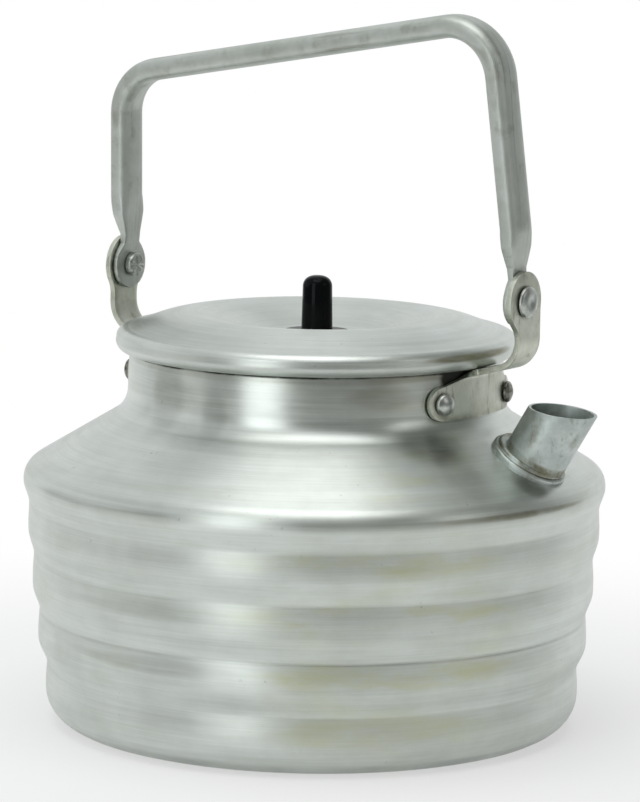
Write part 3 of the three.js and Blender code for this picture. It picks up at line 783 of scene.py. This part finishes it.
knob = as_object("knob_post", spin(knob_line(), 64))
finish_piece(knob, "lid", "knob", black_plastic("knob_black"))

# %% Washer, and the screw under the lid
washer_radius = 9.8


def washer_line():
    top = washer_foot + washer_thickness
    return rounded([(screw_bore, washer_foot), (washer_radius, washer_foot),
                    (washer_radius, top - 0.05, 0.4), (screw_bore, top)], 4)


disc = as_object("knob_disc", spin(washer_line(), 96, closed=True))
# The washer's dark colour is partly its own and partly painted shade and a painted reflection of the knob.
washer_steel_and_shade = steel("washer_dark_steel_and_shade", (0.16, 0.155, 0.15, 1), (0.09, 0.088, 0.085, 1), 0.4)
finish_piece(disc, "lid", "knob_washer", washer_steel_and_shade)
steel_finish = steel("screw_steel", (0.50, 0.51, 0.52, 1), (0.36, 0.36, 0.36, 1), 0.26)
for node in ("lid_washer", "knob_screw"):
    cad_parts[node].data.materials.clear()
    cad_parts[node].data.materials.append(steel_finish)

# %% [markdown]
# ## Ears
# Each ear starts as a flat blank: a strap with round ends, and a tab in its middle that ends in a round
# eye. The blank is drawn as one face and ruled with cuts, so that it can bend. Then it is bent as a fitter
# would bend it: the strap round the neck, the tab out under the lid's rim, and up again to the pivot. In
# the photograph each tab stands a little to one side of its strap.

# %% Sizes of the ears
ear_sheet = 1.6
strap_height = 100.6
strap_end_radius = 4.8
strap_rise = 3.2
strap_crest = strap_end_radius + strap_rise
strap_face = neck_radius + seat_gap + ear_sheet / 2
rise_half_width = 6.7
rivet_spread = 16.7 * degree
tab_width = 11.0
inner_bend, outer_bend = 0.8, 9.5
shelf_rise = 3.4
flat_after = 8
ear_face = 70.7
plate_middle = ear_face - ear_sheet / 2
eye_half_width = 8.2
eye_half_height = 8.6
eye_bore = 2.8
pivot_height = 129.4
front_tab_shift, back_tab_shift = 2.5, 0.3


# %% The bent sheet from the side
def ear_profile():
    """The middle of the ear's sheet from below to above, as (distance from the rivets, radius, height)."""
    bend_height = strap_height + strap_crest + inner_bend - ear_sheet / 2 - seat_gap
    line = rounded([(strap_face + 0.3, strap_height - 8), (strap_face, strap_height),
                    (strap_face - 0.2, bend_height, 2 * inner_bend),
                    (plate_middle, bend_height + shelf_rise, outer_bend - ear_sheet / 2),
                    (plate_middle, pivot_height + 12)], 12)
    table = [(0, line[0].x, line[0].y)]
    for a, b in zip(line, line[1:]):
        table.append((table[-1][0] + (b - a).length, b.x, b.y))
    start = next(d for d, r, z in table if abs(z - strap_height) < 0.001)
    return [(d - start, r, z) for d, r, z in table]


profile = ear_profile()
eye_at = next(d + pivot_height - z for d, r, z in reversed(profile) if z < pivot_height)
print("developed length from the rivets to the eye:", round(eye_at, 1), "mm")


def on_profile(distance):
    for (d0, r0, z0), (d1, r1, z1) in zip(profile, profile[1:]):
        if distance <= d1:
            t = (distance - d0) / (d1 - d0)
            return mix(r0, r1, t), mix(z0, z1, t)
    return r1, z1


# %% The flat blank
def waist(edge, sign):
    """The tab's edge curving into the eye, and the angle on the eye where it joins."""
    join = 0.72 * math.acos(min(abs(edge) / eye_half_width, 1))
    on_eye = Vector((sign * eye_half_width * math.cos(join), eye_at - eye_half_height * math.sin(join)))
    down = Vector((-sign * eye_half_width * math.sin(join), -eye_half_height * math.cos(join)))
    corner = on_eye + down * ((edge - on_eye.x) / down.x)
    on_tab = corner - Vector((0, 3.5 * math.sin(join)))
    curve = [mix(mix(on_tab, corner, k / 10), mix(corner, on_eye, k / 10), k / 10) for k in range(10)]
    return [tuple(point) for point in curve], join


def ear_side(tab_shift, sign):
    """One side of the blank, from the strap's round end up to the eye."""
    reach = strap_face * rivet_spread
    half = tab_width / 2
    flare = rise_half_width - half
    side = []
    for k in range(17):
        angle = -math.pi / 2 + k / 16 * math.pi
        side.append((sign * (reach + strap_end_radius * math.cos(angle)),
                     strap_end_radius * math.sin(angle)))
    side.append((tab_shift + sign * (rise_half_width + 3), mix(strap_end_radius, strap_crest, 0.7)))
    for k in range(7):
        angle = k / 6 * math.pi / 2
        side.append((tab_shift + sign * (half + flare * (1 - math.sin(angle))),
                     strap_crest + flare * (1 - math.cos(angle))))
    curve, join = waist(tab_shift + sign * half, sign)
    return side + curve, join


def ear_outline(tab_shift):
    right_side, right_join = ear_side(tab_shift, 1)
    left_side, left_join = ear_side(tab_shift, -1)
    eye = []
    for k in range(33):
        angle = mix(-right_join, math.pi + left_join, k / 32)
        eye.append((eye_half_width * math.cos(angle), eye_at + eye_half_height * math.sin(angle)))
    return right_side + eye + left_side[::-1]


# %% Ruling and bending
def ear_blank(tab_shift):
    """The outline as one face, ruled every 2 mm along the strap and every half millimetre up the tab."""
    bm = bmesh.new()
    bm.faces.new([bm.verts.new((u * mm, v * mm, 0)) for u, v in ear_outline(tab_shift)])
    rulings = [(Vector((u * mm, 0, 0)), (1, 0, 0)) for u in range(-22, 23, 2)]
    rulings += [(Vector((0, v * mm / 2, 0)), (0, 1, 0)) for v in range(-9, 84)]
    for at, across in rulings:
        bmesh.ops.bisect_plane(bm, geom=bm.verts[:] + bm.edges[:] + bm.faces[:], plane_co=at,
                               plane_no=across)
    return bm


def bend_ear(bm):
    """Bends the blank round the neck below and keeps it flat across above the shelf."""
    for vert in bm.verts:
        u, v = vert.co.x / mm, vert.co.y / mm
        radius, height = on_profile(v)
        turn = u / strap_face
        flat = min(max((v - strap_crest) / flat_after, 0), 1)
        x = mix(radius * math.cos(turn), radius, flat)
        y = mix(radius * math.sin(turn), u, flat)
        vert.co = Vector((x, y, height)) * mm


# %% Ears
along_x = Matrix.Rotation(math.pi / 2, 4, "Y")
strap_head_height = 1.8
strap_head_face = neck_radius + 2 * seat_gap + ear_sheet + strap_head_height
rivet_dirt = [(dirt_near, (side * strap_head_face * math.cos(turn), side * strap_head_face * math.sin(turn),
                           strap_height), 5.2)
              for side in (1, -1) for turn in (-rivet_spread, rivet_spread)]
rivet_dirt += [(dirt_near, (side * (ear_face + 0.5), 0, pivot_height), 6.3) for side in (1, -1)]
ear_finish = sheet_aluminium(
    "sheet_aluminium", (0.52, 0.54, 0.455, 1), (0.67, 0.69, 0.615, 1), (0.15, 0.145, 0.09, 1),
    dirt=rivet_dirt + [(dirt_below, strap_height - 1.8, 3.2)])


def make_ear(name, node, turn, tab_shift):
    bm = ear_blank(tab_shift)
    bend_ear(bm)
    bmesh.ops.remove_doubles(bm, verts=bm.verts, dist=0.01 * mm)
    bmesh.ops.recalc_face_normals(bm, faces=bm.faces)
    ear = as_object(name, bm)
    thicken(ear, ear_sheet, 0)
    pivot = Matrix.Translation(Vector((plate_middle, 0, pivot_height)) * mm)
    drill(ear, rod(eye_bore, 8, pivot @ along_x))
    soften(ear, 0.3, 2, 50 * degree)
    ear.data.transform(Matrix.Rotation(turn, 4, "Z"))
    finish_piece(ear, "kettle", node, ear_finish)


make_ear("front_ear", "ear_front", 0, front_tab_shift)
make_ear("back_ear", "ear_back", math.pi, back_tab_shift)

# %% [markdown]
# ## Rivets
# A strap rivet has a low round head with a small raised middle. A pivot rivet is bigger. Its head stands on
# a straight edge and has a dimple in its middle, and its tail inside the bail's eye was spread with a
# hammer, so its top is uneven. The metal is dull with bright dabs, and one strap rivet of each ear is
# dark all over.

# %% Rivet metal
def rivet_metal(name, dull, bright):
    metal = Finish(name, Metallic=1.0)
    place = metal.place()
    dabs = metal.noise(place, 420.0, 3.0, 0.6)
    clouds = metal.noise(place, 130.0, 3.0, 0.5)
    colour = metal.blend(dabs.between(0.35, 0.7), dull, bright)
    metal.set(Base_Color=colour, Roughness=0.24 + clouds * 0.18, Normal=metal.bump(dabs, 0.06, 0.5))
    return metal.material


rivet_finish = rivet_metal("rivet_aluminium", (0.36, 0.38, 0.355, 1), (0.58, 0.60, 0.57, 1))
# A much darker rivet metal, for one strap rivet of each ear.
dark_rivet_finish = rivet_metal("rivet_dark", (0.07, 0.07, 0.06, 1), (0.40, 0.405, 0.35, 1))


# %% Rivet shapes
def rivet_line(radius, tail_radius, tail_height, grip, head_radius, head_height, dimple):
    """Half a rivet from the end of its tail to the top of its head. A dimple below 0 is a raised middle."""
    line = rounded([(0, -tail_height), (tail_radius, -tail_height, tail_height * 0.45), (tail_radius, 0),
                    (radius, 0), (radius, grip)], 4)
    line += [Vector((head_radius * 0.93, grip)), Vector((head_radius, grip + 0.1 * head_height))]
    for k in range(1, 15):
        angle = k / 14 * math.pi / 2
        r = head_radius * math.cos(angle) ** 0.8
        sink = dimple * math.exp(-(r / (0.45 * head_radius)) ** 2)
        line.append(Vector((r, grip + head_height * (0.25 + 0.75 * math.sin(angle)) - sink)))
    line[-1].x = 0
    return line


def make_rivet(name, node, line, reach, height, turn, finish, hammered=0.0):
    bm = spin(line, 48)
    for vert in bm.verts:
        if vert.co.z < -0.2 * mm:
            vert.co.z += hammered * mm * (math.sin(vert.co.x * 5200) * math.cos(vert.co.y * 4300))
    where = Matrix.Rotation(turn, 4, "Z") @ Matrix.Translation(Vector((reach, 0, height)) * mm) @ along_x
    bmesh.ops.transform(bm, matrix=where, verts=bm.verts)
    rivet = as_object(name, bm)
    finish_piece(rivet, "kettle", node, finish)


# %% Rivets
strap_tail_radius = 3.2
neck_inside = neck_mouth_radius - pot_sheet
strap_tail_seat = math.sqrt(neck_inside ** 2 - strap_tail_radius ** 2) - seat_gap
strap_grip = neck_radius + 2 * seat_gap + ear_sheet - strap_tail_seat
strap_line = rivet_line(radius=2, tail_radius=strap_tail_radius, tail_height=0.9, grip=strap_grip,
                        head_radius=3.1, head_height=strap_head_height, dimple=-0.35)
bail_eye_thickness = 1.6
bail_eye_outer = ear_face - ear_sheet - seat_gap
pivot_tail_seat = bail_eye_outer - bail_eye_thickness - seat_gap
pivot_grip = ear_face + seat_gap - pivot_tail_seat
pivot_line = rivet_line(radius=2.5, tail_radius=3.5, tail_height=1.9, grip=pivot_grip, head_radius=4.5,
                        head_height=1.9, dimple=0.5)
for side, turn in (("front", 0), ("back", math.pi)):
    for hand, sign in (("left", 1), ("right", -1)):
        make_rivet(f"{side}_{hand}_strap_rivet", f"strap_rivet_{side}_{hand}", strap_line, strap_tail_seat,
                   strap_height, turn + sign * rivet_spread,
                   dark_rivet_finish if hand == "left" else rivet_finish)
    make_rivet(f"{side}_pivot_rivet", f"pivot_rivet_{side}", pivot_line, pivot_tail_seat, pivot_height,
               turn, rivet_finish, hammered=0.28)

# %% [markdown]
# ## Bail
# The bail is one flattened tube. A single ring of edges is extruded along its line, and every new ring
# takes the section that the tube has there: a soft rectangle in the grip and the legs, a thin strip in the
# pinch, and a flat round eye at each end. It is taller over the spout than at the back. Its scratches run
# along it.

# %% Sizes of the bail
bail_thickness, bail_width = 6.6, 10.9
bail_eye_radius = 7.2
pinch_width, pinch_thickness, pinch_height = 7.4, 2.4, 9.4
waist_height, flare_height = 15.5, 20.5
back_reach, back_top_reach, back_height, back_bend = 68.8, 68.3, 57, 14
front_foot, front_reach, front_height, front_bend = 67.2, 60.3, 78.9, 15.5
rest_lean = 1.9 * degree
ring_corners = 40
ring_spacing = 1.5
eye_squareness, tube_squareness = 8, 2.9


# %% The bail's line and sections
def bail_line():
    """The middle of the tube from the back eye to the front one, as (x, height above the pivots)."""
    eye = bail_eye_outer - bail_eye_thickness / 2
    pinch = bail_eye_outer - pinch_thickness / 2
    eye_foot = 0.02 - bail_eye_radius
    share = (waist_height - pinch_height) / (flare_height - pinch_height)
    line = rounded([(-eye, eye_foot), (-eye, bail_eye_radius / 2), (-pinch, pinch_height),
                    (mix(-pinch, -back_reach, share), waist_height), (-back_reach, flare_height),
                    (-back_top_reach, back_height, back_bend), (front_reach, front_height, front_bend),
                    (front_foot, flare_height), (mix(pinch, front_foot, share), waist_height),
                    (pinch, pinch_height), (eye, bail_eye_radius / 2), (eye, eye_foot)], 20)
    dense = []
    for a, b in zip(line, line[1:]):
        pieces = max(1, math.ceil((b - a).length / ring_spacing))
        dense += [mix(a, b, k / pieces) for k in range(pieces)]
    return dense + [line[-1]]


def part_way(height, low, high):
    return min(max((height - low) / (high - low), 0), 1)


def section_at(height):
    """The tube's thickness, width and squareness at a height above the pivots."""
    flare = part_way(height, pinch_height, flare_height)
    flat = part_way(height, bail_eye_radius / 2, pinch_height)
    if flare > 0:
        thickness = mix(pinch_thickness, bail_thickness, flare)
    else:
        thickness = mix(bail_eye_thickness, pinch_thickness, flat)
    width = 2 * math.sqrt(max(bail_eye_radius ** 2 - height ** 2, 0.01))
    if height > 0:
        width = max(width, mix(pinch_width, bail_width, part_way(height, pinch_height, waist_height)))
    return thickness, width, mix(eye_squareness, tube_squareness, flare)


# %% Bail
def next_ring(bm, ring):
    """Extrudes a ring of vertices once. The new ring keeps the order."""
    edges = [bm.edges.get(pair) for pair in zip(ring, ring[1:] + ring[:1])]
    made = set(bmesh.ops.extrude_edge_only(bm, edges=edges)["geom"])
    return [next(e.other_vert(v) for e in v.link_edges if e.other_vert(v) in made) for v in ring]


def bail_tube():
    line = bail_line()
    bm = bmesh.new()
    ring = bmesh.ops.create_circle(bm, segments=ring_corners, radius=1)["verts"]
    ring = first = sorted(ring, key=lambda v: math.atan2(v.co.y, v.co.x))
    angles = [math.atan2(v.co.y, v.co.x) for v in ring]
    for i, point in enumerate(line):
        run = (line[min(i + 1, len(line) - 1)] - line[max(i - 1, 0)]).normalized()
        thickness, width, square = section_at(point.y)
        if i:
            ring = next_ring(bm, ring)
        for vert, angle in zip(ring, angles):
            c, s = math.cos(angle), math.sin(angle)
            across = math.copysign(abs(c) ** (2 / square), c) * thickness / 2
            along = math.copysign(abs(s) ** (2 / square), s) * width / 2
            vert.co = Vector((point.x + run.y * across, along, point.y - run.x * across)) * mm
    for end in (first, ring):
        bmesh.ops.contextual_create(bm, geom=[bm.edges.get(pair) for pair in zip(end, end[1:] + end[:1])])
    bmesh.ops.recalc_face_normals(bm, faces=bm.faces)
    return bm


bail = as_object("bail_tube", bail_tube())
drill(bail, rod(eye_bore, 200, along_x))
bail.data.transform(Matrix.Translation((0, 0, pivot_height * mm)) @ Matrix.Rotation(rest_lean, 4, "X"))
bail_finish = sheet_aluminium("bail_aluminium", (0.47, 0.50, 0.46, 1), (0.57, 0.60, 0.57, 1),
                              (0.27, 0.27, 0.22, 1), rough=0.40, stretch=(22, 1100, 22))
finish_piece(bail, "bail", "bail", bail_finish)

# %% [markdown]
# ## Table
# The kettle stands on white paper. Near the kettle the paper is half real, so it takes the shadow, and
# farther off the camera sees it as plain white. The metal sees it nearly as white, because a grey table
# would show in every band of the wall.

# %% Table
table_left, table_front, table_right, table_back = -0.8, -0.5, 0.8, 2.0
shadow_reach = (0.09, 0.30)


def paper(name):
    sheet = Finish(name, Base_Color=(0.9, 0.9, 0.9, 1), Roughness=0.9)
    x, y, z = sheet.axes()
    far = ((x * x + y * y) ** 0.5).between(*shadow_reach)
    seen = (sheet.rays("Camera") + sheet.rays("Glossy", "Transmission") * 0.65).between(0, 1)
    white = sheet.add("ShaderNodeEmission", None, {"Color": (1, 1, 1, 1), "Strength": 1.0})
    plain = Wire(sheet, sheet.surface.outputs[0])
    mixed = sheet.add("ShaderNodeMixShader", None, [seen * (0.5 + far * 0.5), plain, white])
    sheet.tree.links.new(mixed.socket, sheet.tree.nodes["Material Output"].inputs["Surface"])
    return sheet.material


def table_top():
    bm = bmesh.new()
    middle = ((table_left + table_right) / 2, (table_front + table_back) / 2, 0)
    bmesh.ops.create_grid(bm, x_segments=1, y_segments=1, size=0.5)
    bmesh.ops.scale(bm, verts=bm.verts, vec=(table_right - table_left, table_back - table_front, 1))
    bmesh.ops.translate(bm, verts=bm.verts, vec=middle)
    bmesh.ops.rotate(bm, verts=bm.verts, cent=(0, 0, 0), matrix=Matrix.Rotation(camera_azimuth, 3, "Z"))
    return bm


table = as_object("table", table_top())
table.data.materials.append(paper("table_paper"))

# %% [markdown]
# ## Room
# Metal shows what stands round it, so the room is made with care. Behind the kettle is a white backdrop,
# and above it, more to the left, a pale ceiling. Everything else is dim, and that darkness draws the
# creases and the sides of the neck. The camera itself sees plain white all round.

# %% Room
room_dim = (0.24, 0.245, 0.235, 1)
backdrop_white = (0.66, 0.70, 0.71, 1)
ceiling_white = (0.66, 0.68, 0.68, 1)
plain_white = (1, 1, 1, 1)


def make_room():
    world = bpy.data.worlds.new("room")
    bpy.context.scene.world = world
    world.use_nodes = True
    room = Net(world.node_tree)
    x, y, z = room.axes(room.add("ShaderNodeTexCoord", output="Generated"))
    level = (x * x + y * y) ** 0.5
    to_right = x * math.cos(camera_azimuth) + y * math.sin(camera_azimuth)
    ahead = (x * -math.sin(camera_azimuth) + y * math.cos(camera_azimuth)) / level
    backdrop = ahead.between(0.25, 0.75) * (1 - (z + to_right * 0.6).between(0.76, 1.10))
    ceiling = (z - to_right * 0.45).between(0.55, 0.85)
    colour = room.blend(ceiling, room_dim, ceiling_white)
    colour = room.blend(backdrop, colour, backdrop_white)
    white = (room.rays("Camera") + room.rays("Glossy", "Transmission") * backdrop * 0.55).between(0, 1)
    colour = room.blend(white, colour, plain_white)
    room.tree.links.new(colour.socket, room.tree.nodes["Background"].inputs["Color"])


make_room()

# %% [markdown]
# ## Lamps
# Four soft lamps. A tall cool one in front to the left makes the long highlight on the neck and the bands.
# A weak one far to the left fills the side, one on the right lights the spout, and a wide round one hangs
# above for the lid and the shoulder. A lamp's brightness is that of its face, so a bigger lamp gives more
# light but the metal shows it no brighter.

# %% Lamps
def lamp(name, azimuth, height, distance, size, brightness, aim_height=0.08, shape="RECTANGLE",
         colour=(1, 1, 1)):
    """A soft lamp in metres: azimuth from the camera's own, and its face's brightness, where 1 is white."""
    data = bpy.data.lights.new(name, "AREA")
    data.shape = shape
    data.color = colour
    data.size, data.size_y = size
    face = size[0] * size[1] * (math.pi / 4 if shape == "ELLIPSE" else 1)
    data.energy = brightness * math.pi * face
    obj = bpy.data.objects.new(name, data)
    bpy.context.scene.collection.objects.link(obj)
    around = camera_azimuth + azimuth
    spot = Vector((math.sin(around), -math.cos(around), 0)) * distance + Vector((0, 0, height))
    aim = Vector((0, 0, aim_height)) - spot
    obj.matrix_world = Matrix.Translation(spot) @ aim.to_track_quat("-Z", "Y").to_matrix().to_4x4()
    print(f"{name}: {round(data.energy, 2)} W")


lamp("left_lamp", -31 * degree, 0.42, 1.1, (0.46, 0.95), 1.75, 0.3, colour=(0.955, 0.99, 1.0))
lamp("side_lamp", -92 * degree, 0.3, 1.1, (0.9, 0.5), 0.5, 0.0)
lamp("top_lamp", -9 * degree, 1.4, 0.24, (1.15, 1.15), 1.7, shape="ELLIPSE")
lamp("right_lamp", 60 * degree, 0.7, 1.3, (0.5, 0.6), 0.9)
bpy.context.scene.view_settings.view_transform = "Standard"
